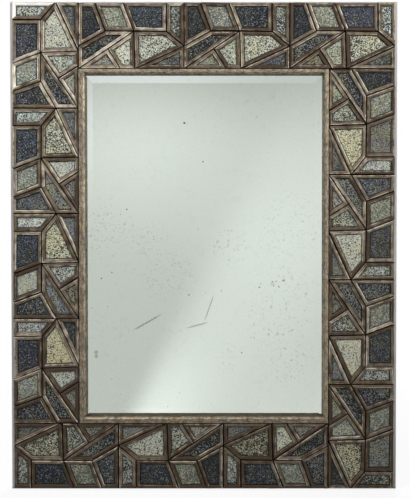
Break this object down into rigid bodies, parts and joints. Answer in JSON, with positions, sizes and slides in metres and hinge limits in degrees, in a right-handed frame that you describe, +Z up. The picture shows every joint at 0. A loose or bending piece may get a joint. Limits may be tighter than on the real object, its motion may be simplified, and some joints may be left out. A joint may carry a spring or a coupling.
{
  "type": "framed wall mirror",
  "caption": "Upright bevelled wall mirror in a broad pinwheel frame of speckled glass tiles with raised bronze rims, hung by hinged rings on its back.",
  "frame": {"origin": "middle of the wall plane, where the tips of the back bumpers touch the wall", "axes": "+Z up, +X to the right seen from the front, -Y out of the mirror's face, +Y into the wall"},
  "size_m": [0.783, 0.034, 0.99],
  "materials": {
    "bronze_leaf": "worn bronze leaf over a red-brown ground",
    "carcass_paint": "flat pale grey paint",
    "dowel_wood": "bare beech",
    "packing_wood": "bare pine",
    "hardboard": "smooth pressed fibre",
    "glass_navy": "gloss over dark speckled flakes",
    "glass_slate": "gloss over slate-blue speckled flakes",
    "glass_silver": "gloss over pale silver speckled flakes",
    "glass_cream": "gloss over cream speckled flakes",
    "silvered_glass": "bevelled silvered glass with a few dark specks",
    "hanger_steel": "zinc plated",
    "screw_steel": "yellow zinc",
    "bumper_rubber": "matt"
  },
  "bodies": {
    "frame": {"stile_left": "carcass_paint", "stile_right": "carcass_paint", "rail_top": "carcass_paint", "rail_bottom": "carcass_paint", "corner_dowels": "dowel_wood", "rims_left_1": "bronze_leaf", "rims_left_2": "bronze_leaf", "rims_left_3": "bronze_leaf", "rims_left_4": "bronze_leaf", "rims_bottom_1": "bronze_leaf", "rims_bottom_2": "bronze_leaf", "rims_bottom_3": "bronze_leaf", "rims_right_1": "bronze_leaf", "rims_right_2": "bronze_leaf", "rims_right_3": "bronze_leaf", "rims_right_4": "bronze_leaf", "rims_top_1": "bronze_leaf", "rims_top_2": "bronze_leaf", "rims_top_3": "bronze_leaf", "panes_navy_left": "glass_navy", "panes_slate_left": "glass_slate", "panes_silver_left": "glass_silver", "panes_cream_left": "glass_cream", "panes_navy_bottom": "glass_navy", "panes_slate_bottom": "glass_slate", "panes_silver_bottom": "glass_silver", "panes_cream_bottom": "glass_cream", "panes_navy_right": "glass_navy", "panes_slate_right": "glass_slate", "panes_silver_right": "glass_silver", "panes_cream_right": "glass_cream", "panes_navy_top": "glass_navy", "panes_slate_top": "glass_slate", "panes_silver_top": "glass_silver", "panes_cream_top": "glass_cream", "fillet_left": "bronze_leaf", "fillet_right": "bronze_leaf", "fillet_top": "bronze_leaf", "fillet_bottom": "bronze_leaf", "mirror_plate": "silvered_glass", "packing_left": "packing_wood", "packing_right": "packing_wood", "packing_top": "packing_wood", "packing_bottom": "packing_wood", "back_panel": "hardboard", "back_panel_screws": "screw_steel", "hanger_strap_left": "hanger_steel", "hanger_strap_right": "hanger_steel", "hanger_screws": "screw_steel", "wall_bumpers": "bumper_rubber"},
    "ring_left": {"hanger_ring_left": "hanger_steel"},
    "ring_right": {"hanger_ring_right": "hanger_steel"}
  },
  "joints": [
    {"name": "ring_left_swing", "type": "hinge", "parent": "frame", "child": "ring_left", "pos_m": [-0.322, -0.00475, 0.265], "axis": [1, 0, 0], "range_deg": [0, 176]},
    {"name": "ring_right_swing", "type": "hinge", "parent": "frame", "child": "ring_right", "pos_m": [0.322, -0.00475, 0.265], "axis": [1, 0, 0], "range_deg": [0, 176]}
  ]
}
